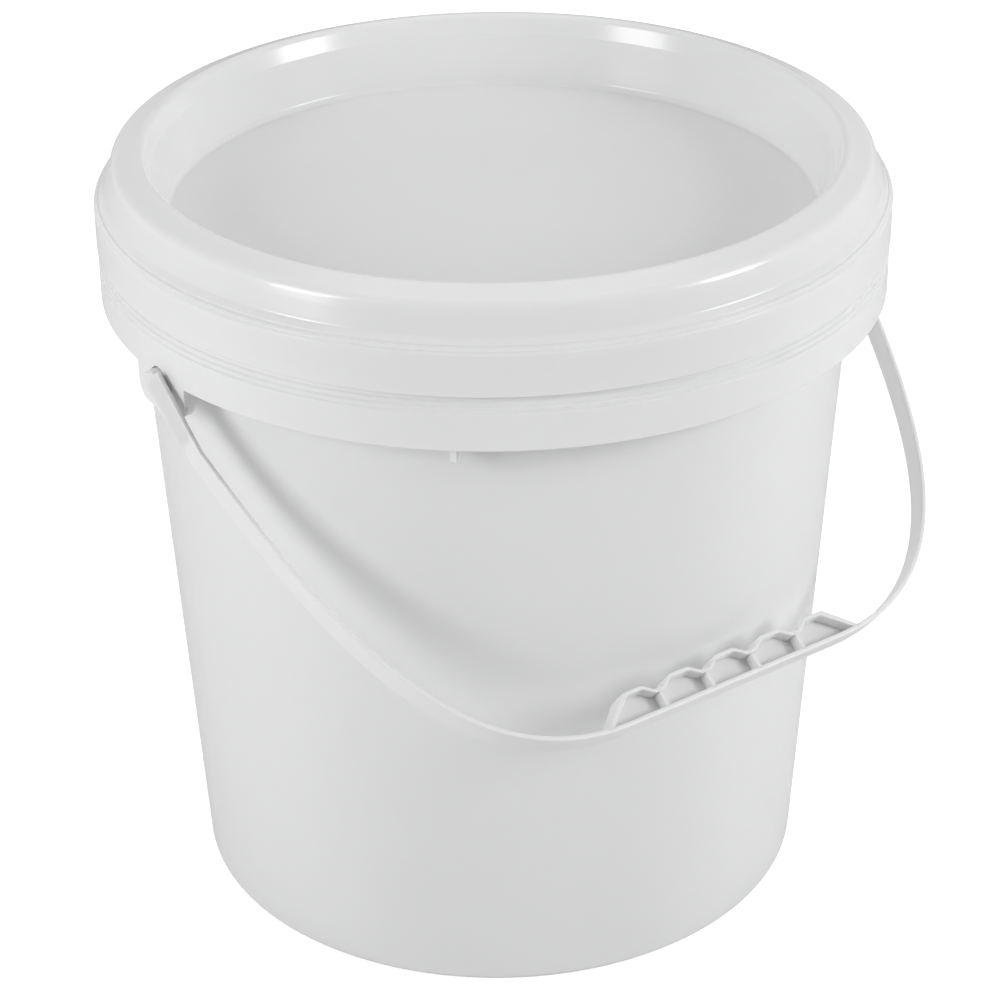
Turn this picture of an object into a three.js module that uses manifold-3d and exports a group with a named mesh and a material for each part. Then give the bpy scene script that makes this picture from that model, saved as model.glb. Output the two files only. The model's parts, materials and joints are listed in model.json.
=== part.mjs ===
// A ten litre paint bucket: a moulded pail, its press-on lid and a plastic bail with a finger grip.
// Units are millimetres, +Z is up, and the origin is the middle of the circle that the pail stands on.
// The bail turns about a line along X and hangs down towards -Y.
import * as THREE from "three";
import { mergeVertices } from "three/addons/utils/BufferGeometryUtils.js";
import Module from "manifold-3d";

const wasm = await Module();
wasm.setup();

// Driving dimensions of the pail
const BASE_RADIUS = 111.3;
const WALL_DRAFT = 3.51;
const PAIL_WALL = 1.8;
const FLOOR_THICKNESS = 2.2;
const FOOT_ROUND = 2;
const FLOOR_ROUND = 5;
const RIM_HEIGHT = 274.1;
const RIM_BEAD = 2.3;
const RIM_BEAD_HEIGHT = 5.6;

// Driving dimensions of the collar below the lid, its stepped bead, its snap ledge and its ribs
const COLLAR_BELOW_RIM = 28.8;
const COLLAR_HEIGHT = 18.5;
const COLLAR_REACH = 11.45;
const COLLAR_WALL = 2;
const COLLAR_WEB = 2.2;
const BEAD_HEIGHT = 5.7;
const BEAD_STEPS = 3;
const BEAD_STEP_IN = 0.5;
const SNAP_ABOVE_COLLAR = 6.5;
const SNAP_THICKNESS = 1.6;
const SNAP_SLOPE = 5;
const RIB_ANGLE = 48;
const RIB_THICKNESS = 2;
const RIB_DROP = 5.5;

// Driving dimensions of the two ears that carry the bail
const EAR_WIDTH = 29;
const EAR_DROP = 12.5;
const EAR_ROUND = 7;
const EAR_THICKNESS = 4.4;
const EAR_SLOT_DEPTH = 2.2;
const EAR_WEB = 2;
const PIVOT_BELOW_COLLAR = 1.8;
const PIN_RADIUS = 2.9;
const PIN_HEAD_RADIUS = 3.9;
const PIN_HEAD_LENGTH = 2;
const BOSS_RADIUS = 4.6;

// Driving dimensions of the lid
const LID_WALL = 1.8;
const SKIRT_PROUD = 0.3;
const SKIRT_HEIGHT = 14.5;
const LIP_IN = 0.8;
const LIP_HEIGHT = 2.5;
const LEDGE_WIDTH = 3.9;
const LEDGE_RISE = 4.6;
const LEDGE_RIDGES = 2;
const RIDGE_HEIGHT = 0.35;
const CREST_OVER_RIM = 4;
const CREST_ACROSS = 11;
const CREST_ROUND = 7.1;
const CREST_BULGE = 1.5;
const CREST_SLOPE = 2.5;
const PLUG_STEPS = [[1.3, 0.8], [3.7, 7.1], [5.5, 15.8], [7.2, 23.6], [8.5, 25.4]];

// Driving dimensions of the bail, drawn flat: across is along its pivot line, down is along its arms
const BAIL_HANG = 51.45;
const BAIL_DROP = 169.3;
const ARM_STRAIGHT = 31;
const ARM_LEAN = 9.5;
const ARM_PULL = 62;
const CORNER_PULL = 117;
const BOTTOM_HALF = 46;
const STRAP_WIDTH = 8.9;
const STRAP_THICKNESS = 1.8;
const STRAP_SET = 3.1;
const TAPER_LENGTH = 25;

// Driving dimensions of the finger grip
const FINGERS = 5;
const FINGER_PITCH = 20;
const FINGER_FLAT = 8;
const GRIP_DEPTH = 9.6;
const WAVE_HEIGHT = 2.9;
const GRIP_RIB = 1.4;
const GRIP_WEB = 1.2;
const GRIP_WEB_SET = 0.6;
const GRIP_SLOPE = 11.5;

// Clearances
const LID_GAP = 0.3;
const LIP_GAP = 0.5;
const PIN_GAP = 0.3;
const SLOT_GAP = 0.6;
const SWING_GAP = 1.4;

// How finely the round shapes are cut
const TURNS = 60;
const BAR_SIDES = 20;
const ARC_STEPS = 4;
const CREST_STEPS = 6;
const ARM_STEPS = 24;

// Plane geometry

const radians = THREE.MathUtils.degToRad;
const point = (x, y) => new THREE.Vector2(x, y);

function arc(centre, radiusX, radiusY, fromDegrees, toDegrees) {
  const points = [];
  for (let step = 0; step <= ARC_STEPS; step += 1) {
    const angle = radians(fromDegrees + ((toDegrees - fromDegrees) * step) / ARC_STEPS);
    points.push(point(centre.x + radiusX * Math.cos(angle), centre.y + radiusY * Math.sin(angle)));
  }
  return points;
}

// The same line moved to its left by a distance, with its corners kept sharp
function moved(line, distance) {
  return line.map((corner, place) => {
    const before = line[Math.max(place - 1, 0)];
    const after = line[Math.min(place + 1, line.length - 1)];
    const arriving = place > 0 ? corner.clone().sub(before).normalize() : null;
    const leaving = place < line.length - 1 ? after.clone().sub(corner).normalize() : arriving;
    const way = (arriving ?? leaving).clone().add(leaving).normalize();
    const stretch = distance / Math.max(way.dot(leaving), 0.5);
    return point(corner.x - way.y * stretch, corner.y + way.x * stretch);
  });
}

function mirrored(line) {
  return line.map((corner) => point(-corner.x, corner.y)).reverse();
}

// Solids

function solid(geometry) {
  const bare = geometry.clone();
  bare.deleteAttribute("normal");
  bare.deleteAttribute("uv");
  const welded = mergeVertices(bare, 1e-4);
  const corners = welded.index.array;
  const kept = [];
  for (let i = 0; i < corners.length; i += 3) {
    const [a, b, c] = [corners[i], corners[i + 1], corners[i + 2]];
    if (a !== b && b !== c && c !== a) {
      kept.push(a, b, c);
    }
  }
  const vertProperties = new Float32Array(welded.attributes.position.array);
  const mesh = new wasm.Mesh({ numProp: 3, vertProperties, triVerts: new Uint32Array(kept) });
  return new wasm.Manifold(mesh);
}

function geometryOf(manifold) {
  const mesh = manifold.getMesh();
  const geometry = new THREE.BufferGeometry();
  geometry.setAttribute("position", new THREE.BufferAttribute(new Float32Array(mesh.vertProperties), 3));
  geometry.setIndex(new THREE.BufferAttribute(new Uint32Array(mesh.triVerts), 1));
  geometry.computeVertexNormals();
  return geometry;
}

function joined(solids) {
  return solids.reduce((whole, next) => whole.add(next));
}

// A section of radius and height, turned about the Z axis
function turned(section) {
  const geometry = new THREE.LatheGeometry(section, TURNS);
  geometry.rotateX(Math.PI / 2);
  return solid(geometry);
}

// An outline in X and Y, made a plate between two values of Z
function plateAlongZ(outline, from, to) {
  const geometry = new THREE.ExtrudeGeometry(new THREE.Shape(outline), { depth: to - from, bevelEnabled: false });
  geometry.translate(0, 0, from);
  return solid(geometry);
}

// An outline in Y and Z, made a plate between two values of X
function plateAlongX(outline, from, to) {
  const geometry = new THREE.ExtrudeGeometry(new THREE.Shape(outline), { depth: to - from, bevelEnabled: false });
  geometry.applyMatrix4(new THREE.Matrix4().set(0, 0, 1, from, 1, 0, 0, 0, 0, 1, 0, 0, 0, 0, 0, 1));
  return solid(geometry);
}

// A round bar along X at a height
function barAlongX(radius, from, to, height) {
  const geometry = new THREE.CylinderGeometry(radius, radius, to - from, BAR_SIDES);
  geometry.rotateZ(-Math.PI / 2);
  geometry.translate((from + to) / 2, 0, height);
  return solid(geometry);
}

// A maker of things along X, called for both ends: near and far are distances from the middle
function atBothEnds(make, near, far) {
  return make(near, far).add(make(-far, -near));
}

// Where the pail's wall and collar lie
const slope = Math.tan(radians(WALL_DRAFT));
const outside = (height) => BASE_RADIUS + slope * height;
const inside = (height) => outside(height) - PAIL_WALL;
const rimOutside = outside(RIM_HEIGHT) + RIM_BEAD;
const collarTop = RIM_HEIGHT - COLLAR_BELOW_RIM;
const collarBottom = collarTop - COLLAR_HEIGHT;
const collarRadius = outside(collarTop) + COLLAR_REACH;
const collarInside = collarRadius - COLLAR_WALL;
const webUnder = collarTop - COLLAR_WEB;
const beadBottom = collarTop - BEAD_HEIGHT;
const snapUnder = collarTop + SNAP_ABOVE_COLLAR;
const earBottom = collarBottom - EAR_DROP;
const pivotHeight = collarBottom - PIVOT_BELOW_COLLAR;

// Where the lid's skirt lies, which the pail's snap ledge stays inside
const skirtRadius = collarRadius + SKIRT_PROUD;
const skirtBottom = collarTop + LID_GAP * 2;
const skirtTop = skirtBottom + SKIRT_HEIGHT;
const lipRadius = skirtRadius - LID_WALL - LIP_IN;

// The lid's crest rises inwards from its shoulder, and the pail's rim follows it from below
const crestTop = RIM_HEIGHT + CREST_OVER_RIM;
const shoulder = rimOutside + LID_GAP + LID_WALL;
const crestLine = new THREE.QuadraticBezierCurve(
  point(shoulder, crestTop - CREST_ROUND),
  point(shoulder - CREST_BULGE, crestTop - CREST_SLOPE),
  point(shoulder - CREST_ACROSS, crestTop),
).getPoints(CREST_STEPS);

// The collar's bead steps inwards as it goes up
function beadSection() {
  const rise = BEAD_HEIGHT / BEAD_STEPS;
  const points = [point(collarRadius, beadBottom)];
  for (let step = 0; step < BEAD_STEPS; step += 1) {
    const radius = collarRadius - BEAD_STEP_IN * (step + 1);
    points.push(point(radius, beadBottom + rise * step + BEAD_STEP_IN));
    points.push(point(radius, beadBottom + rise * (step + 1)));
  }
  return points;
}

function pailSection() {
  const snapRadius = lipRadius - LIP_GAP;
  const snapTop = snapUnder + SNAP_THICKNESS + SNAP_SLOPE;
  const beadLow = RIM_HEIGHT - RIM_BEAD_HEIGHT;
  const rimRound = moved(crestLine, LID_WALL + LID_GAP).filter((corner) => corner.x > inside(RIM_HEIGHT));
  const floorCorner = point(inside(FLOOR_THICKNESS + FLOOR_ROUND) - FLOOR_ROUND, FLOOR_THICKNESS + FLOOR_ROUND);
  return [
    point(0, 0),
    ...arc(point(BASE_RADIUS - FOOT_ROUND, FOOT_ROUND), FOOT_ROUND, FOOT_ROUND, -90, 0),
    point(outside(webUnder), webUnder),
    point(collarInside, webUnder),
    point(collarInside, collarBottom),
    point(collarRadius, collarBottom),
    ...beadSection(),
    point(outside(collarTop), collarTop),
    point(outside(snapUnder), snapUnder),
    point(snapRadius, snapUnder),
    point(snapRadius, snapUnder + SNAP_THICKNESS),
    point(outside(snapTop), snapTop),
    point(outside(beadLow), beadLow),
    point(rimOutside, beadLow + RIM_BEAD / 2),
    ...rimRound,
    point(inside(RIM_HEIGHT), RIM_HEIGHT),
    ...arc(floorCorner, FLOOR_ROUND, FLOOR_ROUND, 0, -90),
    point(0, FLOOR_THICKNESS),
  ];
}

// The ears are pieces of a deeper collar, with round lower corners
function earPlates() {
  const half = EAR_WIDTH / 2;
  const ring = turned([
    point(collarRadius - EAR_THICKNESS, earBottom),
    point(collarRadius, earBottom),
    point(collarRadius, beadBottom),
    point(collarInside, webUnder),
    point(collarRadius - EAR_THICKNESS, webUnder),
    point(collarRadius - EAR_THICKNESS, earBottom),
  ]);
  const outline = [
    point(half, collarTop),
    point(-half, collarTop),
    ...arc(point(-half + EAR_ROUND, earBottom + EAR_ROUND), EAR_ROUND, EAR_ROUND, 180, 270),
    ...arc(point(half - EAR_ROUND, earBottom + EAR_ROUND), EAR_ROUND, EAR_ROUND, 270, 360),
  ];
  const mask = (from, to) => plateAlongX(outline, from, to);
  return ring.intersect(atBothEnds(mask, collarInside - COLLAR_REACH, collarRadius + COLLAR_REACH));
}

// A web stands at each side of an ear, between its plate and the wall
function earWebs() {
  const half = EAR_WIDTH / 2;
  const low = earBottom + EAR_ROUND;
  const near = outside(low) - PAIL_WALL;
  const far = collarRadius - EAR_THICKNESS / 2;
  const webs = [half - EAR_WEB, -half].map((from) => {
    const to = from + EAR_WEB;
    const outline = [point(from, low), point(to, low), point(to, collarTop - 1), point(from, collarTop - 1)];
    return atBothEnds((a, b) => plateAlongX(outline, a, b), near, far);
  });
  return joined(webs);
}

// Each ear's slot is round at the pivot and open along the hanging arm, with a hole for the pin
function earSlots() {
  const radius = BOSS_RADIUS + SLOT_GAP;
  const down = 270 - BAIL_HANG;
  const along = point(Math.cos(radians(down)), Math.sin(radians(down))).multiplyScalar(EAR_WIDTH);
  const round = arc(point(0, pivotHeight), radius, radius, down + 90, down + 270);
  const outline = [...round, round[round.length - 1].clone().add(along), round[0].clone().add(along)];
  const slot = (from, to) => plateAlongX(outline, from, to);
  const hole = (from, to) => barAlongX(PIN_RADIUS + PIN_GAP, from, to, pivotHeight);
  const beyond = collarRadius + EAR_THICKNESS;
  const slots = atBothEnds(slot, collarRadius - EAR_SLOT_DEPTH, beyond);
  return slots.add(atBothEnds(hole, collarRadius - EAR_THICKNESS * 1.5, beyond));
}

// Small ribs stiffen the collar from below
function collarRib(azimuth) {
  const low = collarBottom - RIB_DROP;
  const outline = [
    point(outside(low) - PAIL_WALL / 2, low),
    point(collarInside + COLLAR_WALL / 4, low),
    point(collarInside + COLLAR_WALL / 4, collarTop - COLLAR_WEB / 2),
    point(outside(collarTop) - PAIL_WALL / 2, collarTop - COLLAR_WEB / 2),
  ];
  const geometry = new THREE.ExtrudeGeometry(new THREE.Shape(outline), { depth: RIB_THICKNESS, bevelEnabled: false });
  geometry.translate(0, 0, -RIB_THICKNESS / 2);
  geometry.rotateX(Math.PI / 2);
  geometry.rotateZ(radians(azimuth));
  return solid(geometry);
}

function pail() {
  const ribs = [RIB_ANGLE, 180 - RIB_ANGLE, 180 + RIB_ANGLE, -RIB_ANGLE].map(collarRib);
  return joined([turned(pailSection()), earPlates(), earWebs(), ...ribs]).subtract(earSlots());
}

// The lid's outer face, from the foot of its skirt over the crest to the middle of its panel
function lidFace() {
  const ledge = point(skirtRadius - LEDGE_WIDTH, skirtTop + LEDGE_RISE);
  const crestInside = crestLine[CREST_STEPS];
  return [
    point(skirtRadius, skirtBottom),
    point(skirtRadius, skirtTop),
    ledge,
    ...crestLine,
    ...PLUG_STEPS.map(([across, down]) => point(crestInside.x - across, crestTop - down)),
    point(0, crestTop - PLUG_STEPS[PLUG_STEPS.length - 1][1]),
  ];
}

// Fine ridges run round the sloping ledge above the skirt
function ledgeRidges(foot, head) {
  const points = [];
  for (let ridge = 0; ridge < LEDGE_RIDGES; ridge += 1) {
    const low = foot.clone().lerp(head, (ridge + 0.35) / LEDGE_RIDGES);
    const high = foot.clone().lerp(head, (ridge + 0.7) / LEDGE_RIDGES);
    points.push(low, point(low.x, low.y + RIDGE_HEIGHT), point(high.x, high.y + RIDGE_HEIGHT), high);
  }
  return points;
}

function lid() {
  const face = lidFace();
  const under = moved(face, LID_WALL).reverse();
  const lipFoot = under.pop();
  const lip = [
    point(lipFoot.x, skirtBottom + LIP_HEIGHT * 1.5),
    point(lipRadius, skirtBottom + LIP_HEIGHT),
    point(lipRadius, skirtBottom + LIP_IN),
    lipFoot,
  ];
  const ridges = ledgeRidges(face[1], face[2]);
  return turned([...under, ...lip, face[0], face[1], ...ridges, ...face.slice(2)]);
}

// Where the bail's strap lies: outside the skirt, and in front of the pivot line
const reach = skirtRadius + SWING_GAP + STRAP_THICKNESS / 2;
const strapFront = -STRAP_SET - STRAP_WIDTH / 2;
const strapBack = -STRAP_SET + STRAP_WIDTH / 2;
const strapInside = BAIL_DROP - STRAP_THICKNESS / 2;
const gripCrest = BAIL_DROP - GRIP_DEPTH - STRAP_THICKNESS / 2;
const gripHalf = ((FINGERS - 1) * FINGER_PITCH) / 2 + FINGER_FLAT / 2;

// The middle line of one arm and half of the strap's straight bottom
function armLine() {
  const lean = radians(ARM_LEAN);
  const bend = point(reach, ARM_STRAIGHT);
  const armPull = point(reach - ARM_PULL * Math.sin(lean), ARM_STRAIGHT + ARM_PULL * Math.cos(lean));
  const cornerPull = point(CORNER_PULL, BAIL_DROP);
  const curve = new THREE.CubicBezierCurve(bend, armPull, cornerPull, point(BOTTOM_HALF, BAIL_DROP));
  return [point(reach, 0), ...curve.getPoints(ARM_STEPS)];
}

function strap() {
  const line = armLine();
  const outer = moved(line, -STRAP_THICKNESS / 2);
  const inner = moved(line, STRAP_THICKNESS / 2);
  return plateAlongZ([...outer, ...mirrored(outer), ...mirrored(inner).reverse(), ...inner.reverse()], strapFront, strapBack);
}

// Each arm ends in a round boss on the pivot line, and tapers from it to the strap's width
function armEnds() {
  const outline = [
    ...arc(point(0, 0), BOSS_RADIUS, BOSS_RADIUS, 180, 90),
    point(TAPER_LENGTH, strapBack - STRAP_THICKNESS / 2),
    point(TAPER_LENGTH, strapFront + STRAP_THICKNESS / 2),
    point(0, strapFront + STRAP_THICKNESS / 2),
    point(strapFront / 2, -BOSS_RADIUS / 2),
  ];
  const plate = (from, to) => plateAlongX(outline, from, to);
  return atBothEnds(plate, reach - STRAP_THICKNESS / 2, reach + STRAP_THICKNESS / 2);
}

// The boss turns in the ear's slot, its pin passes through the ear and a small head keeps it there
function pivots() {
  const slotFloor = collarRadius - EAR_SLOT_DEPTH + PIN_GAP;
  const headTop = collarRadius - EAR_THICKNESS - PIN_GAP * 2;
  const bar = (radius) => (from, to) => barAlongX(radius, from, to, 0);
  return joined([
    atBothEnds(bar(BOSS_RADIUS), slotFloor, reach),
    atBothEnds(bar(PIN_RADIUS), headTop - PIN_HEAD_LENGTH / 2, slotFloor + PIN_GAP),
    atBothEnds(bar(PIN_HEAD_RADIUS), headTop - PIN_HEAD_LENGTH, headTop),
  ]);
}

// The finger edge: a flat at each crest and each valley, with straight slopes between
function fingerEdge(inset) {
  const points = [];
  for (let finger = 0; finger < FINGERS; finger += 1) {
    const middle = (finger - (FINGERS - 1) / 2) * FINGER_PITCH;
    const valley = (FINGER_PITCH - FINGER_FLAT) / 2;
    points.push(point(middle - FINGER_FLAT / 2, gripCrest + inset));
    points.push(point(middle + FINGER_FLAT / 2, gripCrest + inset));
    if (finger < FINGERS - 1) {
      points.push(point(middle + valley + FINGER_FLAT / 4, gripCrest + WAVE_HEIGHT + inset));
      points.push(point(middle + FINGER_PITCH - valley - FINGER_FLAT / 4, gripCrest + WAVE_HEIGHT + inset));
    }
  }
  points[0].x += inset;
  points[points.length - 1].x -= inset;
  return points;
}

function gripOutline(inset, foot) {
  const side = gripHalf + GRIP_SLOPE - inset * 2;
  return [point(-side, foot), ...fingerEdge(inset), point(side, foot)];
}

// The grip is a frame along the strap's inside, a thin web in it and a divider at each valley
function grip() {
  const hollow = gripOutline(GRIP_RIB, strapInside);
  const webFront = -STRAP_SET + GRIP_WEB_SET;
  const frame = plateAlongZ(gripOutline(0, BAIL_DROP), strapFront, strapBack);
  const frontPocket = plateAlongZ(hollow, strapFront - STRAP_WIDTH, webFront);
  const backPocket = plateAlongZ(hollow, webFront + GRIP_WEB, strapBack + STRAP_WIDTH);
  const dividers = [];
  for (let valley = 1; valley < FINGERS; valley += 1) {
    const middle = (valley - FINGERS / 2) * FINGER_PITCH;
    const low = middle - GRIP_RIB / 2;
    const high = middle + GRIP_RIB / 2;
    const top = gripCrest + WAVE_HEIGHT + GRIP_RIB / 2;
    const outline = [point(low, top), point(high, top), point(high, BAIL_DROP), point(low, BAIL_DROP)];
    dividers.push(plateAlongZ(outline, strapFront, strapBack));
  }
  return joined([frame.subtract(frontPocket.add(backPocket)), ...dividers]);
}

function bail() {
  return joined([strap(), armEnds(), pivots(), grip()]);
}

// The finished pieces

function named(name, manifold, color, roughness) {
  const material = new THREE.MeshStandardMaterial({ color, roughness, metalness: 0 });
  const mesh = new THREE.Mesh(geometryOf(manifold), material);
  mesh.name = name;
  return mesh;
}

const bailPiece = named("bail_handle", bail(), 0xe8e9e8, 0.35);
bailPiece.rotation.x = -radians(90 + BAIL_HANG);
bailPiece.position.z = pivotHeight;

const bucket = new THREE.Group();
bucket.add(named("pail", pail(), 0xe9eaea, 0.28));
bucket.add(named("lid", lid(), 0xebecec, 0.24));
bucket.add(bailPiece);

export default bucket;
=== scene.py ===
# %% [markdown]
# A white plastic paint bucket: a moulded pail, a press-on lid and a strap bail with a finger grip.
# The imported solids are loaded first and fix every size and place. Each of the three pieces is then
# made again with fine curves and small rounds, which a faceted solid leaves out.

# %% The frame
import bpy
import bmesh
import json
import math
from mathutils import Matrix, Vector

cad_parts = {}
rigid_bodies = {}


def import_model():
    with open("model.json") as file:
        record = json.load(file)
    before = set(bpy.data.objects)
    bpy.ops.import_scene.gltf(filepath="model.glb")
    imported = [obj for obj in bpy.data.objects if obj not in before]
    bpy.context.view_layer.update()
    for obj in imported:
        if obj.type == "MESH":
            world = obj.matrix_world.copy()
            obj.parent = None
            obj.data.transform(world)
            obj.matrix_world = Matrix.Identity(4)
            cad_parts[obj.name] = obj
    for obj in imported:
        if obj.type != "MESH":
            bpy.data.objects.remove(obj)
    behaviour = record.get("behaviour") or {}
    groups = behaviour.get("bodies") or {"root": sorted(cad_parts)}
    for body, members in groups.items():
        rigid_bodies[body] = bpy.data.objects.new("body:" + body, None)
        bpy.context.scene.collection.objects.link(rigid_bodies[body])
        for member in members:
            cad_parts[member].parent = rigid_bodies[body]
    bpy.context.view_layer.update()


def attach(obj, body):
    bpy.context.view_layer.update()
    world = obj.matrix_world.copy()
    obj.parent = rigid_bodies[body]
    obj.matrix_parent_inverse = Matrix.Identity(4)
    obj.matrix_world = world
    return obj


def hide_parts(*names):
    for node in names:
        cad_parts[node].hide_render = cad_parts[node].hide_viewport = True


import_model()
MM = 0.001

# %% [markdown]
# The camera comes first, because every later choice is judged through it. The photograph was taken
# from about a metre away with a long lens, 29 degrees above the horizon, and the bail's pivot line
# is turned 36 degrees away from the picture plane.

# %% The camera
PIVOT_TURN = math.radians(36.3)
CAMERA_BACK = 0.9978
CAMERA_UP = 0.6819
CAMERA_PITCH = math.radians(28.77)
CAMERA_YAW = math.radians(0.07)
CAMERA_ROLL = math.radians(-0.59)
FOCAL_PIXELS = 3099.5
FRAME_PIXELS = 1000
MIDDLE = Vector((0, 0, 0.14))


def seen_from_camera(azimuth_degrees, elevation_degrees, distance):
    """A place round the bucket, with its azimuth counted from the camera's own side."""
    around = math.radians(azimuth_degrees) - PIVOT_TURN
    rise = math.radians(elevation_degrees)
    away = Vector((math.sin(around) * math.cos(rise), -math.cos(around) * math.cos(rise), math.sin(rise)))
    return MIDDLE + away * distance


def make_camera():
    forward = Vector((
        math.sin(CAMERA_YAW) * math.cos(CAMERA_PITCH),
        math.cos(CAMERA_YAW) * math.cos(CAMERA_PITCH),
        -math.sin(CAMERA_PITCH),
    ))
    level = Vector((math.cos(CAMERA_YAW), -math.sin(CAMERA_YAW), 0))
    upright = level.cross(forward)
    right = math.cos(CAMERA_ROLL) * level + math.sin(CAMERA_ROLL) * upright
    up = -math.sin(CAMERA_ROLL) * level + math.cos(CAMERA_ROLL) * upright
    place = Matrix((
        (right.x, up.x, -forward.x, 0),
        (right.y, up.y, -forward.y, -CAMERA_BACK),
        (right.z, up.z, -forward.z, CAMERA_UP),
        (0, 0, 0, 1),
    ))
    data = bpy.data.cameras.new("camera")
    data.sensor_width = 36
    data.lens = FOCAL_PIXELS / FRAME_PIXELS * data.sensor_width
    camera = bpy.data.objects.new("camera", data)
    camera.matrix_world = Matrix.Rotation(-PIVOT_TURN, 4, "Z") @ place
    bpy.context.scene.collection.objects.link(camera)
    bpy.context.scene.camera = camera
    return camera


camera = make_camera()
print("camera lens", round(camera.data.lens, 1), "mm")

# %% [markdown]
# All three pieces are injection moulded in white polypropylene. It is never one flat white: the melt
# leaves faint cloudy streaks, the mould's polish leaves a very fine ripple, and handling leaves
# short scuffs that only show in the reflections. Each of these is one noise with its own scale.
# Colour stays almost even, while roughness and bump carry the detail.

# %% The plastic
STREAK_SHADE = 0.985


def white_plastic(name, colour, roughness, ripple, streak_stretch):
    material = bpy.data.materials.new(name)
    material.use_nodes = True
    nodes = material.node_tree.nodes
    links = material.node_tree.links
    shader = nodes["Principled BSDF"]
    shader.inputs["IOR"].default_value = 1.49
    shader.inputs["Subsurface Weight"].default_value = 0.15
    shader.inputs["Subsurface Radius"].default_value = (0.006, 0.006, 0.0055)
    shader.inputs["Subsurface Scale"].default_value = 1.0

    place = nodes.new("ShaderNodeTexCoord")
    stretch = nodes.new("ShaderNodeMapping")
    stretch.inputs["Scale"].default_value = streak_stretch
    links.new(place.outputs["Object"], stretch.inputs["Vector"])

    streaks = nodes.new("ShaderNodeTexNoise")
    streaks.inputs["Scale"].default_value = 14
    streaks.inputs["Detail"].default_value = 5
    streaks.inputs["Roughness"].default_value = 0.55
    links.new(stretch.outputs["Vector"], streaks.inputs["Vector"])

    shades = nodes.new("ShaderNodeValToRGB")
    shades.color_ramp.elements[0].position = 0.3
    shades.color_ramp.elements[1].position = 0.72
    shades.color_ramp.elements[0].color = (*(part * STREAK_SHADE for part in colour), 1)
    shades.color_ramp.elements[1].color = (*colour, 1)
    links.new(streaks.outputs["Fac"], shades.inputs["Fac"])
    links.new(shades.outputs["Color"], shader.inputs["Base Color"])

    scuff_place = nodes.new("ShaderNodeMapping")
    scuff_place.inputs["Rotation"].default_value = (0.5, 0.3, 0.9)
    scuff_place.inputs["Scale"].default_value = (1, 9, 1)
    scuffs = nodes.new("ShaderNodeTexNoise")
    scuffs.inputs["Scale"].default_value = 900
    scuffs.inputs["Detail"].default_value = 8
    scuffs.inputs["Distortion"].default_value = 0.3
    links.new(place.outputs["Object"], scuff_place.inputs["Vector"])
    links.new(scuff_place.outputs["Vector"], scuffs.inputs["Vector"])
    gloss = nodes.new("ShaderNodeMapRange")
    gloss.inputs["From Min"].default_value = 0.35
    gloss.inputs["From Max"].default_value = 0.75
    gloss.inputs["To Min"].default_value = roughness * 0.96
    gloss.inputs["To Max"].default_value = roughness * 1.06
    links.new(scuffs.outputs["Fac"], gloss.inputs["Value"])
    links.new(gloss.outputs["Result"], shader.inputs["Roughness"])

    peel = nodes.new("ShaderNodeTexNoise")
    peel.inputs["Scale"].default_value = 420
    peel.inputs["Detail"].default_value = 2
    links.new(place.outputs["Object"], peel.inputs["Vector"])
    swell = nodes.new("ShaderNodeTexNoise")
    swell.inputs["Scale"].default_value = 22
    swell.inputs["Detail"].default_value = 1
    links.new(stretch.outputs["Vector"], swell.inputs["Vector"])
    fine = nodes.new("ShaderNodeBump")
    fine.inputs["Strength"].default_value = ripple
    fine.inputs["Distance"].default_value = 0.00003
    broad = nodes.new("ShaderNodeBump")
    broad.inputs["Strength"].default_value = ripple
    broad.inputs["Distance"].default_value = 0.0003
    links.new(peel.outputs["Fac"], fine.inputs["Height"])
    links.new(swell.outputs["Fac"], broad.inputs["Height"])
    links.new(broad.outputs["Normal"], fine.inputs["Normal"])
    links.new(fine.outputs["Normal"], shader.inputs["Normal"])
    return material


pail_white = white_plastic("pail_white", (0.84, 0.843, 0.842), 0.2, 0.35, (1, 1, 0.25))
lid_white = white_plastic("lid_white", (0.845, 0.847, 0.846), 0.19, 0.25, (1, 1, 1))
bail_white = white_plastic("bail_white", (0.83, 0.832, 0.828), 0.3, 0.5, (0.4, 1, 1))
print("materials:", [m.name for m in (pail_white, lid_white, bail_white)])

# %% [markdown]
# The pail and the lid are turned shapes: one section, taken round an axis. A moulded edge is never
# sharp, so the section is written as corners, each with the radius of its round, and a helper puts
# a short arc at every corner.

# %% Sections with rounded corners
def rounded(corners, steps=5):
    """Corners are (across, up, round) in millimetres; every round becomes a short arc."""
    line = []
    for place, (x, y, radius) in enumerate(corners):
        here = Vector((x, y))
        if radius == 0 or place in (0, len(corners) - 1):
            line.append(here)
            continue
        back = Vector(corners[place - 1][:2]) - here
        onward = Vector(corners[place + 1][:2]) - here
        half = back.angle(onward) / 2
        cut = min(radius / math.tan(half), back.length * 0.48, onward.length * 0.48)
        start = here + back.normalized() * cut
        end = here + onward.normalized() * cut
        for step in range(steps + 1):
            t = step / steps
            line.append((1 - t) ** 2 * start + 2 * t * (1 - t) * here + t ** 2 * end)
    return line


def bent(start, pull, end, steps=14):
    """Corners along a curve from start to end that is drawn towards pull, with no rounds of their own."""
    points = []
    for step in range(steps + 1):
        t = step / steps
        x, y = (1 - t) ** 2 * Vector(start) + 2 * t * (1 - t) * Vector(pull) + t ** 2 * Vector(end)
        points.append((x, y, 0))
    return points


# %% [markdown]
# Geometry Nodes can turn a section: Curve to Mesh sweeps it round a circle, and Merge by Distance
# closes the poles. The tree has the circle's radius and its number of sides as inputs, so the same
# tree turns both pieces. The section is laid out from that circle, and sweeping turns its Y down.

# %% A turning tree
TURN_RADIUS = 0.1
TURN_SIDES = 288


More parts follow.
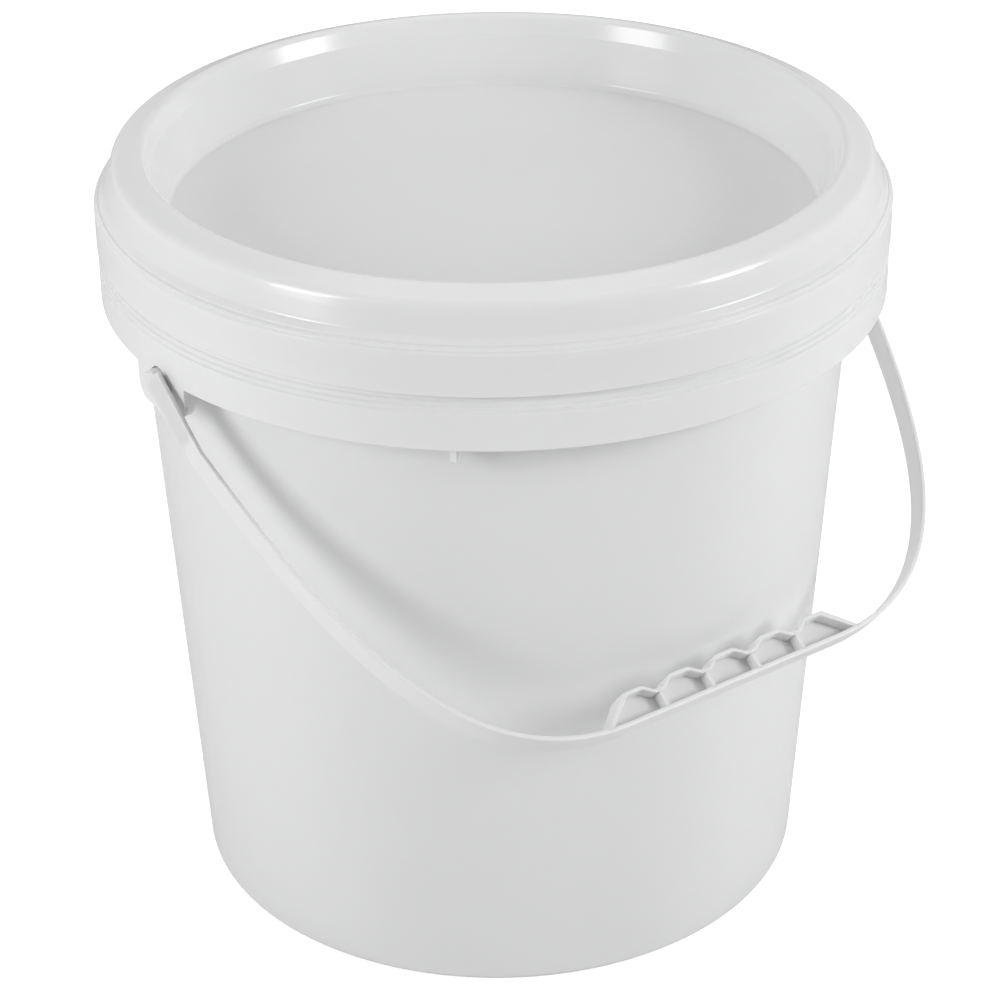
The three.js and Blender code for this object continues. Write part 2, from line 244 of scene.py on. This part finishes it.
def turning_tree():
    tree = bpy.data.node_groups.new("turned_section", "GeometryNodeTree")
    tree.interface.new_socket("Section", in_out="INPUT", socket_type="NodeSocketGeometry")
    tree.interface.new_socket("Circle Radius", in_out="INPUT", socket_type="NodeSocketFloat")
    tree.interface.new_socket("Sides", in_out="INPUT", socket_type="NodeSocketInt")
    tree.interface.new_socket("Material", in_out="INPUT", socket_type="NodeSocketMaterial")
    tree.interface.new_socket("Body", in_out="OUTPUT", socket_type="NodeSocketGeometry")
    nodes, links = tree.nodes, tree.links
    given = nodes.new("NodeGroupInput")
    section = nodes.new("GeometryNodeMeshToCurve")
    circle = nodes.new("GeometryNodeCurvePrimitiveCircle")
    level = nodes.new("GeometryNodeSetCurveNormal")
    level.mode = "Z_UP"
    sweep = nodes.new("GeometryNodeCurveToMesh")
    weld = nodes.new("GeometryNodeMergeByDistance")
    weld.inputs["Distance"].default_value = 1e-6
    realize = nodes.new("GeometryNodeRealizeInstances")
    finish = nodes.new("GeometryNodeSetMaterial")
    done = nodes.new("NodeGroupOutput")
    links.new(given.outputs["Section"], section.inputs["Mesh"])
    links.new(given.outputs["Circle Radius"], circle.inputs["Radius"])
    links.new(given.outputs["Sides"], circle.inputs["Resolution"])
    links.new(circle.outputs["Curve"], level.inputs["Curve"])
    links.new(level.outputs["Curve"], sweep.inputs["Curve"])
    links.new(section.outputs["Curve"], sweep.inputs["Profile Curve"])
    links.new(sweep.outputs["Mesh"], weld.inputs["Geometry"])
    links.new(weld.outputs["Geometry"], realize.inputs["Geometry"])
    links.new(realize.outputs["Geometry"], finish.inputs["Geometry"])
    links.new(given.outputs["Material"], finish.inputs["Material"])
    links.new(finish.outputs["Geometry"], done.inputs["Body"])
    return tree


def with_tree(name, mesh, tree, values):
    """Runs a tree on a mesh and returns the result as a plain object of that name."""
    helper = bpy.data.objects.new(name + "_source", mesh)
    bpy.context.scene.collection.objects.link(helper)
    modifier = helper.modifiers.new("tree", "NODES")
    modifier.node_group = tree
    for item in tree.interface.items_tree:
        if item.in_out == "INPUT" and item.name in values:
            modifier[item.identifier] = values[item.name]
    made = bpy.data.meshes.new_from_object(helper.evaluated_get(bpy.context.evaluated_depsgraph_get()))
    helper.modifiers.remove(modifier)
    bpy.data.objects.remove(helper)
    made.name = name
    piece = bpy.data.objects.new(name, made)
    bpy.context.scene.collection.objects.link(piece)
    return piece


turning = turning_tree()


def turned(name, line, material):
    points = [(p.x * MM - TURN_RADIUS, -p.y * MM, 0) for p in reversed(line)]
    mesh = bpy.data.meshes.new(name + "_section")
    mesh.from_pydata(points, [(i, i + 1) for i in range(len(points) - 1)], [])
    values = {"Circle Radius": TURN_RADIUS, "Sides": TURN_SIDES, "Material": material}
    return with_tree(name, mesh, turning, values)


# %% [markdown]
# The lid is one thin wall: a straight skirt, a sloping ledge with fine ridges, a crest that rises
# inwards over the pail's rim, and a plug wall that drops to the sunken panel. The section runs from
# the panel's underside out to the skirt and back over the crest, in millimetres.

# %% The lid
SKIRT_RADIUS = 138.1
SKIRT_BOTTOM = 245.9
SKIRT_TOP = 260.4
PANEL_TOP = 252.7
LID_WALL = 1.8

lid_under = [
    (0, PANEL_TOP - LID_WALL, 0),
    (113.9, PANEL_TOP - LID_WALL, 1.5),
    (116.0, 253.8, 1.5),
    (117.8, 262.0, 3),
    (119.55, 270.5, 3),
    (121.2, 275.3, 0.8),
    *bent((122.6, 275.4), (128.9, 274.2), (130.75, 270.5), 8),
    (132.4, 264.4, 1.2),
    (136.3, 259.7, 0.8),
    (136.3, 249.7, 0.5),
    (135.5, 248.4, 0.3),
    (135.5, 246.7, 0.3),
    (136.3, SKIRT_BOTTOM, 0.2),
]
lid_outside = [
    (SKIRT_RADIUS, SKIRT_BOTTOM, 0.5),
    (SKIRT_RADIUS, SKIRT_TOP, 0.5),
    (137.4, 261.2, 0.2),
    (137.4, 261.65, 0.2),
    (136.7, 262.45, 0.2),
    (136.5, 262.25, 0.15),
    (136.1, 262.7, 0.15),
    (136.1, 263.15, 0.2),
    (134.2, 265.1, 1.6),
    (132.51, 271.0, 3.0),
    *bent((131.9, 273.0), (131.2, 275.3), (128.6, 275.9), 10),
    *bent((124.2, 277.3), (121.2, 279.0), (119.8, 276.2), 10),
    (117.81, 271.0, 1.5),
    (116.01, 262.3, 1.0),
    (114.31, 254.5, 1.5),
    (113.0, PANEL_TOP, 1.5),
    (0, PANEL_TOP, 0),
]
lid_piece = turned("lid_shell", rounded(lid_under + lid_outside), lid_white)
print("lid:", len(lid_piece.data.polygons), "faces")

# %% [markdown]
# The pail's section is longer: the flat bottom, the leaning wall, the hanging collar with a stepped
# bead on top, the snap ledge and the rim under the lid, and the inside. The wall leans out by the
# same amount for every millimetre of height, so one small function gives it.

# %% The pail's body
WALL_LEAN = math.tan(math.radians(3.51))
PAIL_WALL = 1.8
COLLAR_RADIUS = 137.8
COLLAR_BOTTOM = 226.8
COLLAR_TOP = 245.3


def wall(height):
    return 111.3 + WALL_LEAN * height


pail_section = [
    (0, 0, 0),
    (111.3, 0, 2.2),
    (wall(243.1), 243.1, 1.0),
    (135.8, 243.1, 0.8),
    (135.8, COLLAR_BOTTOM, 0.6),
    (COLLAR_RADIUS, COLLAR_BOTTOM, 0.6),
    (COLLAR_RADIUS, 239.6, 0.3),
    (137.3, 240.1, 0.2),
    (137.3, 241.5, 0.15),
    (136.8, 242.0, 0.2),
    (136.8, 243.4, 0.15),
    (136.3, 243.9, 0.2),
    (136.3, COLLAR_TOP, 0.5),
    (wall(COLLAR_TOP), COLLAR_TOP, 0.5),
    (wall(251.8), 251.8, 0.5),
    (135.0, 251.8, 0.3),
    (135.0, 253.4, 0.5),
    (wall(258.4), 258.4, 1.5),
    (wall(268.5), 268.5, 0.8),
    (130.4, 269.7, 0.4),
    (130.5, 270.3, 0.4),
    *bent((130.3, 271.2), (129.6, 272.6), (127.5, 273.6), 6),
    (wall(274.1) - PAIL_WALL, 274.1, 0.3),
    (wall(7.2) - PAIL_WALL, 7.2, 0),
    (wall(2.2) - PAIL_WALL, 2.2, 4.5),
    (0, 2.2, 0),
]
pail_body = turned("pail_body", rounded(pail_section), pail_white)
print("pail body:", len(pail_body.data.polygons), "faces")

# %% [markdown]
# Two ears hang from the collar where the bail is carried. Each is a curved plate with round lower
# corners and two webs behind it, and a slot in it takes the bail's boss and lets the arm hang down.
# The plate follows a rule, so it is built column by column round the pail's axis. It is then joined
# to the pail and the slot is cut with exact booleans, as the mould makes them in one piece.

# %% The ears and the ribs under the collar
PIVOT_HEIGHT = 225.0
PIN_RADIUS = 2.9
PIN_HEAD_RADIUS = 3.9
BOSS_RADIUS = 4.6
PIN_GAP = 0.3
SLOT_GAP = 0.6
SLOT_FLOOR = 135.6
CUT_END = 142
EAR_FRONT = 137.83
EAR_BACK = 133.4
EAR_COLUMNS = 64
EAR_HALF = 14.5
EAR_ROUND = 7.0
EAR_BOTTOM = 214.3
HANG = math.radians(51.45)


def mesh_object(name, points, faces):
    mesh = bpy.data.meshes.new(name)
    mesh.from_pydata([tuple(c * MM for c in p) for p in points], [], faces)
    shell = bmesh.new()
    shell.from_mesh(mesh)
    bmesh.ops.recalc_face_normals(shell, faces=shell.faces)
    shell.to_mesh(mesh)
    shell.free()
    thing = bpy.data.objects.new(name, mesh)
    bpy.context.scene.collection.objects.link(thing)
    return thing


def prism(name, outline, low, high, place):
    """A flat outline pushed from one distance to another; place turns (a, b, distance) into x, y, z."""
    count = len(outline)
    points = [place(a, b, low) for a, b in outline] + [place(a, b, high) for a, b in outline]
    faces = [tuple(range(count)), tuple(range(2 * count - 1, count - 1, -1))]
    faces += [(i, (i + 1) % count, count + (i + 1) % count, count + i) for i in range(count)]
    return mesh_object(name, points, faces)


def ear_plate(side):
    points, faces = [], []
    for column in range(EAR_COLUMNS + 1):
        along = -EAR_HALF + 2 * EAR_HALF * column / EAR_COLUMNS
        over = abs(along) - (EAR_HALF - EAR_ROUND)
        bottom = EAR_BOTTOM
        if over > 0:
            bottom += EAR_ROUND - math.sqrt(max(EAR_ROUND ** 2 - over ** 2, 0))
        angle = along / COLLAR_RADIUS
        for radius, height in ((EAR_FRONT, bottom), (EAR_FRONT, 239.3), (EAR_BACK, 242), (EAR_BACK, bottom)):
            points.append((side * radius * math.cos(angle), radius * math.sin(angle), height))
    for column in range(EAR_COLUMNS):
        first = column * 4
        for corner in range(4):
            beside = (corner + 1) % 4
            faces.append((first + corner, first + beside, first + 4 + beside, first + 4 + corner))
    faces += [(3, 2, 1, 0), tuple(EAR_COLUMNS * 4 + corner for corner in range(4))]
    return mesh_object("ear_plate", points, faces)


def ear_webs(side):
    webs = []
    for low in (-EAR_HALF, EAR_HALF - 2):
        outline = [(low, 221), (low + 2, 221), (low + 2, 244), (low, 244)]
        webs.append(prism("ear_web", outline, 124, 134.5, lambda a, b, d: (side * d, a, b)))
    return webs


def ear_slot(side):
    down = math.pi * 1.5 - HANG
    radius = BOSS_RADIUS + SLOT_GAP
    outline = []
    for step in range(33):
        angle = down + math.pi / 2 + math.pi * step / 32
        outline.append((radius * math.cos(angle), PIVOT_HEIGHT + radius * math.sin(angle)))
    along = (2 * EAR_HALF * math.cos(down), 2 * EAR_HALF * math.sin(down))
    outline.append((outline[-1][0] + along[0], outline[-1][1] + along[1]))
    outline.append((outline[0][0] + along[0], outline[0][1] + along[1]))
    return prism("ear_slot", outline, SLOT_FLOOR, CUT_END, lambda a, b, d: (side * d, a, b))


def pin_hole(side):
    radius = PIN_RADIUS + PIN_GAP
    outline = []
    for step in range(32):
        angle = 2 * math.pi * step / 32
        outline.append((radius * math.cos(angle), PIVOT_HEIGHT + radius * math.sin(angle)))
    return prism("pin_hole", outline, 131, CUT_END, lambda a, b, d: (side * d, a, b))


def collar_rib(azimuth):
    turn = Matrix.Rotation(math.radians(azimuth), 3, "Z")
    low, high = wall(221) - PAIL_WALL / 2, wall(244) - PAIL_WALL / 2
    outline = [(low, 221.3), (135.4, 221.3), (136.2, 222.3), (136.2, 244), (high, 244)]
    return prism("collar_rib", outline, -1, 1, lambda a, b, d: turn @ Vector((a, d, b)))


def boolean(body, tools, operation):
    for tool in tools:
        modifier = body.modifiers.new(operation, "BOOLEAN")
        modifier.operation = operation
        modifier.solver = "EXACT"
        modifier.object = tool
        made = bpy.data.meshes.new_from_object(body.evaluated_get(bpy.context.evaluated_depsgraph_get()))
        body.modifiers.remove(modifier)
        body.data = made
        bpy.data.objects.remove(tool)


additions = [collar_rib(azimuth) for azimuth in (48, 132, 228, 312)]
for side in (1, -1):
    additions += [ear_plate(side), *ear_webs(side)]
boolean(pail_body, additions, "UNION")
boolean(pail_body, [ear_slot(1), ear_slot(-1), pin_hole(1), pin_hole(-1)], "DIFFERENCE")
pail_body.name = "pail_shell"
print("pail with ears:", len(pail_body.data.polygons), "faces")

# %% [markdown]
# The bail is one moulding: a flat strap bent to a U, a round boss and pin at each end, and a ribbed
# grip in the middle. It is drawn flat, with X along the pivot line and Y down the hanging arms, and
# turned to its hang at the end. The strap follows a path, so Geometry Nodes sweep it: a filleted
# rectangle goes along the path and gets its end caps.

# %% The strap
STRAP_THICKNESS = 1.8
STRAP_WIDTH = 8.9
STRAP_SET = 3.1
REACH = 140.4
DROP = 169.3
ARM_STEPS = 72


def strap_tree():
    tree = bpy.data.node_groups.new("swept_strap", "GeometryNodeTree")
    tree.interface.new_socket("Path", in_out="INPUT", socket_type="NodeSocketGeometry")
    tree.interface.new_socket("Thickness", in_out="INPUT", socket_type="NodeSocketFloat")
    tree.interface.new_socket("Width", in_out="INPUT", socket_type="NodeSocketFloat")
    tree.interface.new_socket("Edge Round", in_out="INPUT", socket_type="NodeSocketFloat")
    tree.interface.new_socket("Material", in_out="INPUT", socket_type="NodeSocketMaterial")
    tree.interface.new_socket("Strap", in_out="OUTPUT", socket_type="NodeSocketGeometry")
    nodes, links = tree.nodes, tree.links
    given = nodes.new("NodeGroupInput")
    path = nodes.new("GeometryNodeMeshToCurve")
    level = nodes.new("GeometryNodeSetCurveNormal")
    level.mode = "Z_UP"
    section = nodes.new("GeometryNodeCurvePrimitiveQuadrilateral")
    fillet = nodes.new("GeometryNodeFilletCurve")
    fillet.mode = "POLY"
    fillet.inputs["Count"].default_value = 4
    sweep = nodes.new("GeometryNodeCurveToMesh")
    sweep.inputs["Fill Caps"].default_value = True
    realize = nodes.new("GeometryNodeRealizeInstances")
    finish = nodes.new("GeometryNodeSetMaterial")
    done = nodes.new("NodeGroupOutput")
    links.new(given.outputs["Path"], path.inputs["Mesh"])
    links.new(path.outputs["Curve"], level.inputs["Curve"])
    links.new(given.outputs["Thickness"], section.inputs["Width"])
    links.new(given.outputs["Width"], section.inputs["Height"])
    links.new(section.outputs["Curve"], fillet.inputs["Curve"])
    links.new(given.outputs["Edge Round"], fillet.inputs["Radius"])
    links.new(level.outputs["Curve"], sweep.inputs["Curve"])
    links.new(fillet.outputs["Curve"], sweep.inputs["Profile Curve"])
    links.new(sweep.outputs["Mesh"], realize.inputs["Geometry"])
    links.new(realize.outputs["Geometry"], finish.inputs["Geometry"])
    links.new(given.outputs["Material"], finish.inputs["Material"])
    links.new(finish.outputs["Geometry"], done.inputs["Strap"])
    return tree


def arm_line():
    lean = math.radians(9.5)
    bend = Vector((REACH, 31))
    arm_pull = bend + 62 * Vector((-math.sin(lean), math.cos(lean)))
    corner_pull = Vector((117, DROP))
    bottom = Vector((46, DROP))
    line = [Vector((REACH, 0)), Vector((REACH, 10)), Vector((REACH, 20))]
    for step in range(ARM_STEPS + 1):
        t = step / ARM_STEPS
        line.append(
            (1 - t) ** 3 * bend + 3 * t * (1 - t) ** 2 * arm_pull
            + 3 * t ** 2 * (1 - t) * corner_pull + t ** 3 * bottom
        )
    return line


def strap():
    half = arm_line()
    line = half + [Vector((-p.x, p.y)) for p in reversed(half)]
    mesh = bpy.data.meshes.new("strap_path")
    points = [(p.x * MM, p.y * MM, 0) for p in line]
    mesh.from_pydata(points, [(i, i + 1) for i in range(len(points) - 1)], [])
    values = {"Thickness": STRAP_THICKNESS * MM, "Width": STRAP_WIDTH * MM, "Edge Round": 0.6 * MM}
    piece = with_tree("strap", mesh, strap_tree(), {**values, "Material": bail_white})
    piece.data.transform(Matrix.Translation((0, 0, -STRAP_SET * MM)))
    return piece


bail_parts = [strap()]
print("strap:", len(bail_parts[0].data.polygons), "faces")

# %% [markdown]
# Near the pivot the arm widens into a round end. Behind it a boss turns in the ear's slot, and a
# pin with a small head holds the bail in the ear. These are plain prisms with bevelled edges.

# %% The arm ends and pivots
BEVEL_ANGLE = math.radians(40)
CIRCLE_SIDES = 40
END_INSET = 0.08


def bevelled(thing, width):
    modifier = thing.modifiers.new("edges", "BEVEL")
    modifier.width = width * MM
    modifier.segments = 3
    modifier.limit_method = "ANGLE"
    modifier.angle_limit = BEVEL_ANGLE
    made = bpy.data.meshes.new_from_object(thing.evaluated_get(bpy.context.evaluated_depsgraph_get()))
    thing.modifiers.remove(modifier)
    thing.data = made
    return thing


def circle_outline(radius):
    turns = [2 * math.pi * i / CIRCLE_SIDES for i in range(CIRCLE_SIDES)]
    return [(radius * math.cos(turn), radius * math.sin(turn)) for turn in turns]


def arm_end(side):
    """The end plate lies a little inside the strap's faces, so that no two faces share one plane."""
    half = STRAP_THICKNESS / 2 - END_INSET
    front = -STRAP_SET - STRAP_WIDTH / 2 + 0.5
    back = -STRAP_SET + STRAP_WIDTH / 2 - 0.5
    outline = []
    for step in range(17):
        angle = math.pi - (math.pi / 2) * step / 16
        outline.append((BOSS_RADIUS * math.cos(angle), BOSS_RADIUS * math.sin(angle)))
    outline += [(6, 4.1), (14, 2.4), (25, back), (25, front), (1.5, front), (-2.6, front / 2)]
    return prism("arm_end", outline, REACH - half, REACH + half, lambda a, b, d: (side * d, a, b))


def pivot(side):
    def along_x(a, b, d):
        return (side * d, a, b)

    return [
        prism("boss", circle_outline(BOSS_RADIUS), SLOT_FLOOR + PIN_GAP, REACH, along_x),
        prism("pin", circle_outline(PIN_RADIUS), 131.8, 136.2, along_x),
        prism("pin_head", circle_outline(PIN_HEAD_RADIUS), 130.8, 132.8, along_x),
    ]


for side in (1, -1):
    bail_parts.append(bevelled(arm_end(side), 0.5))
    bail_parts += [bevelled(part, 0.3) for part in pivot(side)]
print("bail parts so far:", len(bail_parts))

# %% [markdown]
# The grip is a shallow open box on the strap's inside. Its finger edge is a wave of five crests, a
# thin web closes it part of the way back, and a divider stands at each of the four valleys. The
# edge is a band between two outlines with rounded corners.

# %% The grip's edge and web
FINGERS = 5
PITCH = 20.0
FLAT = 8.0
CREST_LINE = 158.8
WAVE = 2.9
RIB = 1.4
END_SLOPE = 11.5
EDGE_ROUND = 2.2
WEB_NEAR = 0.6
WEB_FAR = 1.8
STRAP_INSIDE = DROP - STRAP_THICKNESS / 2
STRAP_FRONT = -STRAP_SET - STRAP_WIDTH / 2
STRAP_BACK = -STRAP_SET + STRAP_WIDTH / 2


def finger_line(inset):
    half = (FINGERS - 1) * PITCH / 2 + FLAT / 2
    foot = half + END_SLOPE
    line = [(-foot + inset * 1.6, STRAP_INSIDE + 0.3, 0)]
    for finger in range(FINGERS):
        middle = (finger - (FINGERS - 1) / 2) * PITCH
        low = middle - FLAT / 2 + (inset if finger == 0 else 0)
        high = middle + FLAT / 2 - (inset if finger == FINGERS - 1 else 0)
        line.append((low, CREST_LINE + inset, EDGE_ROUND))
        line.append((high, CREST_LINE + inset, EDGE_ROUND))
        if finger < FINGERS - 1:
            line.append((middle + PITCH / 2 - FLAT / 4, CREST_LINE + WAVE + inset, EDGE_ROUND))
            line.append((middle + PITCH / 2 + FLAT / 4, CREST_LINE + WAVE + inset, EDGE_ROUND))
    line.append((foot - inset * 1.6, STRAP_INSIDE + 0.3, 0))
    return [(p.x, p.y) for p in rounded(line, 4)]


def flat_place(a, b, d):
    return (a, b, d)


def finger_edge():
    outer, inner = finger_line(0), finger_line(RIB)
    return prism("finger_edge", outer + inner[::-1], STRAP_FRONT, STRAP_BACK, flat_place)


def grip_web():
    outline = finger_line(RIB / 2)
    return prism("grip_web", outline, -STRAP_SET + WEB_NEAR, -STRAP_SET + WEB_FAR, flat_place)


bail_parts.append(bevelled(finger_edge(), 0.35))
bail_parts.append(grip_web())
print("grip edge and web made")

# %% [markdown]
# The four dividers are the same small plate at an even pitch. Geometry Nodes place them: a mesh line
# gives the points, and a thin box is put on each, turned real and given the bail's material.

# %% The grip's dividers
def divider_tree():
    tree = bpy.data.node_groups.new("grip_dividers", "GeometryNodeTree")
    tree.interface.new_socket("Plate", in_out="INPUT", socket_type="NodeSocketGeometry")
    tree.interface.new_socket("Count", in_out="INPUT", socket_type="NodeSocketInt")
    tree.interface.new_socket("Start", in_out="INPUT", socket_type="NodeSocketVector")
    tree.interface.new_socket("Pitch", in_out="INPUT", socket_type="NodeSocketVector")
    tree.interface.new_socket("Material", in_out="INPUT", socket_type="NodeSocketMaterial")
    tree.interface.new_socket("Dividers", in_out="OUTPUT", socket_type="NodeSocketGeometry")
    nodes, links = tree.nodes, tree.links
    given = nodes.new("NodeGroupInput")
    row = nodes.new("GeometryNodeMeshLine")
    copies = nodes.new("GeometryNodeInstanceOnPoints")
    realize = nodes.new("GeometryNodeRealizeInstances")
    finish = nodes.new("GeometryNodeSetMaterial")
    done = nodes.new("NodeGroupOutput")
    links.new(given.outputs["Count"], row.inputs["Count"])
    links.new(given.outputs["Start"], row.inputs["Start Location"])
    links.new(given.outputs["Pitch"], row.inputs["Offset"])
    links.new(row.outputs["Mesh"], copies.inputs["Points"])
    links.new(given.outputs["Plate"], copies.inputs["Instance"])
    links.new(copies.outputs["Instances"], realize.inputs["Geometry"])
    links.new(realize.outputs["Geometry"], finish.inputs["Geometry"])
    links.new(given.outputs["Material"], finish.inputs["Material"])
    links.new(finish.outputs["Geometry"], done.inputs["Dividers"])
    return tree


def dividers():
    top = CREST_LINE + WAVE + RIB / 2
    outline = [(-RIB / 2, top), (RIB / 2, top), (RIB / 2, DROP - 0.3), (-RIB / 2, DROP - 0.3)]
    plate = bevelled(prism("divider", outline, STRAP_FRONT + 0.2, STRAP_BACK - 0.2, flat_place), 0.25)
    start = (-(FINGERS - 2) * PITCH / 2 * MM, 0, 0)
    values = {"Count": FINGERS - 1, "Start": start, "Pitch": (PITCH * MM, 0, 0), "Material": bail_white}
    row = with_tree("dividers", plate.data.copy(), divider_tree(), values)
    bpy.data.objects.remove(plate)
    return row


bail_parts.append(dividers())
print("dividers made")

# %% [markdown]
# The bail's parts are one moulding on the real object, so they become one mesh. It is turned from
# its flat drawing to the angle at which the bail hangs, about the pivot line through both ears.

# %% The bail in its place
def joined(name, things, material):
    whole = bmesh.new()
    for thing in things:
        whole.from_mesh(thing.data)
        bpy.data.objects.remove(thing)
    mesh = bpy.data.meshes.new(name)
    whole.to_mesh(mesh)
    whole.free()
    mesh.materials.clear()
    mesh.materials.append(material)
    for polygon in mesh.polygons:
        polygon.material_index = 0
    piece = bpy.data.objects.new(name, mesh)
    bpy.context.scene.collection.objects.link(piece)
    return piece


bail_piece = joined("bail_shell", bail_parts, bail_white)
hang = Matrix.Translation((0, 0, PIVOT_HEIGHT * MM)) @ Matrix.Rotation(-(math.pi / 2 + HANG), 4, "X")
bail_piece.data.transform(hang)
print("bail:", len(bail_piece.data.polygons), "faces")

# %% [markdown]
# Large flat faces beside small rounds shade badly when every normal is a plain average. Smooth
# shading with sharp edges kept above an angle, and normals weighted by face area, cure that.

# %% Shading and handing over to the bodies
SHARP_ANGLE = math.radians(35)


def shaded(piece, material):
    mesh = piece.data
    mesh.materials.clear()
    mesh.materials.append(material)
    for polygon in mesh.polygons:
        polygon.use_smooth = True
        polygon.material_index = 0
    mesh.set_sharp_from_angle(angle=SHARP_ANGLE)
    weighted = piece.modifiers.new("weighted", "WEIGHTED_NORMAL")
    weighted.keep_sharp = True
    weighted.weight = 80


for piece, material, body, node, slot in (
    (pail_body, pail_white, "pail", "pail", "pail_plastic"),
    (lid_piece, lid_white, "lid", "lid", "lid_plastic"),
    (bail_piece, bail_white, "bail", "bail_handle", "bail_plastic"),
):
    shaded(piece, material)
    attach(piece, body)
    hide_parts(node)
    print(piece.name, "rides on", body)

# %% [markdown]
# The studio is plain: a pale floor that keeps the bucket's soft shadow, a white background, a broad
# lamp on the left that throws the bail's shadow across the wall, a second one on the right for the
# other highlight, and a weak one overhead. The side that the photographer stands on is dimmer, so
# the middle of the wall is a little darker than its sides.

# %% The studio
FLOOR_HALF = 6


def pale_floor():
    mesh = bpy.data.meshes.new("floor")
    corners = [(x * FLOOR_HALF, y * FLOOR_HALF, 0) for x, y in ((-1, -1), (1, -1), (1, 1), (-1, 1))]
    mesh.from_pydata(corners, [], [(0, 1, 2, 3)])
    floor = bpy.data.objects.new("floor", mesh)
    bpy.context.scene.collection.objects.link(floor)
    material = bpy.data.materials.new("floor_white")
    material.use_nodes = True
    nodes, links = material.node_tree.nodes, material.node_tree.links
    nodes.clear()
    paper = nodes.new("ShaderNodeBsdfDiffuse")
    paper.inputs["Color"].default_value = (0.8, 0.8, 0.8, 1)
    glow = nodes.new("ShaderNodeEmission")
    rays = nodes.new("ShaderNodeLightPath")
    level = nodes.new("ShaderNodeMath")
    level.operation = "MULTIPLY"
    level.inputs[1].default_value = 0.6
    both = nodes.new("ShaderNodeAddShader")
    out = nodes.new("ShaderNodeOutputMaterial")
    links.new(rays.outputs["Is Camera Ray"], level.inputs[0])
    links.new(level.outputs["Value"], glow.inputs["Strength"])
    links.new(paper.outputs["BSDF"], both.inputs[0])
    links.new(glow.outputs["Emission"], both.inputs[1])
    links.new(both.outputs["Shader"], out.inputs["Surface"])
    mesh.materials.append(material)


def white_world():
    """White wherever the camera sees it; as a light it is dimmer from the camera's side and from above."""
    world = bpy.data.worlds.new("studio")
    bpy.context.scene.world = world
    world.use_nodes = True
    nodes, links = world.node_tree.nodes, world.node_tree.links
    nodes.clear()
    where = nodes.new("ShaderNodeTexCoord")
    front = nodes.new("ShaderNodeVectorMath")
    front.operation = "DOT_PRODUCT"
    front.inputs[1].default_value = (-math.sin(PIVOT_TURN), -math.cos(PIVOT_TURN), 0)
    dimmer = nodes.new("ShaderNodeMapRange")
    dimmer.interpolation_type = "SMOOTHSTEP"
    dimmer.inputs["From Min"].default_value = 0.1
    dimmer.inputs["From Max"].default_value = 1.0
    dimmer.inputs["To Min"].default_value = 0.61
    dimmer.inputs["To Max"].default_value = 0.25
    height = nodes.new("ShaderNodeSeparateXYZ")
    ceiling = nodes.new("ShaderNodeMapRange")
    ceiling.inputs["From Min"].default_value = 0.3
    ceiling.inputs["From Max"].default_value = 0.95
    ceiling.inputs["To Min"].default_value = 1.12
    ceiling.inputs["To Max"].default_value = 0.66
    light = nodes.new("ShaderNodeMath")
    light.operation = "MULTIPLY"
    rays = nodes.new("ShaderNodeLightPath")
    seen = nodes.new("ShaderNodeMath")
    seen.operation = "MAXIMUM"
    strength = nodes.new("ShaderNodeMix")
    strength.inputs["B"].default_value = 1.0
    sky = nodes.new("ShaderNodeBackground")
    sky.inputs["Color"].default_value = (1, 1, 1, 1)
    out = nodes.new("ShaderNodeOutputWorld")
    links.new(where.outputs["Generated"], front.inputs[0])
    links.new(front.outputs["Value"], dimmer.inputs["Value"])
    links.new(rays.outputs["Is Camera Ray"], seen.inputs[0])
    links.new(rays.outputs["Is Transmission Ray"], seen.inputs[1])
    links.new(seen.outputs["Value"], strength.inputs["Factor"])
    links.new(where.outputs["Generated"], height.inputs["Vector"])
    links.new(height.outputs["Z"], ceiling.inputs["Value"])
    links.new(dimmer.outputs["Result"], light.inputs[0])
    links.new(ceiling.outputs["Result"], light.inputs[1])
    links.new(light.outputs["Value"], strength.inputs["A"])
    links.new(strength.outputs["Result"], sky.inputs["Strength"])
    links.new(sky.outputs["Background"], out.inputs["Surface"])


def softbox(name, azimuth, elevation, distance, width, height, power):
    data = bpy.data.lights.new(name, "AREA")
    data.shape = "RECTANGLE"
    data.size = width
    data.size_y = height
    data.energy = power
    lamp = bpy.data.objects.new(name, data)
    lamp.location = seen_from_camera(azimuth, elevation, distance)
    aim = MIDDLE - lamp.location
    lamp.rotation_euler = aim.to_track_quat("-Z", "Y").to_euler()
    bpy.context.scene.collection.objects.link(lamp)
    return lamp


pale_floor()
white_world()
softbox("left_box", -54, 22, 1.6, 0.5, 0.7, 9.5)
softbox("right_box", 70, 24, 1.8, 0.55, 0.7, 13)
softbox("high_box", 175, 76, 1.8, 1.2, 1.2, 4)
bpy.context.scene.view_settings.view_transform = "Standard"
print("studio ready")
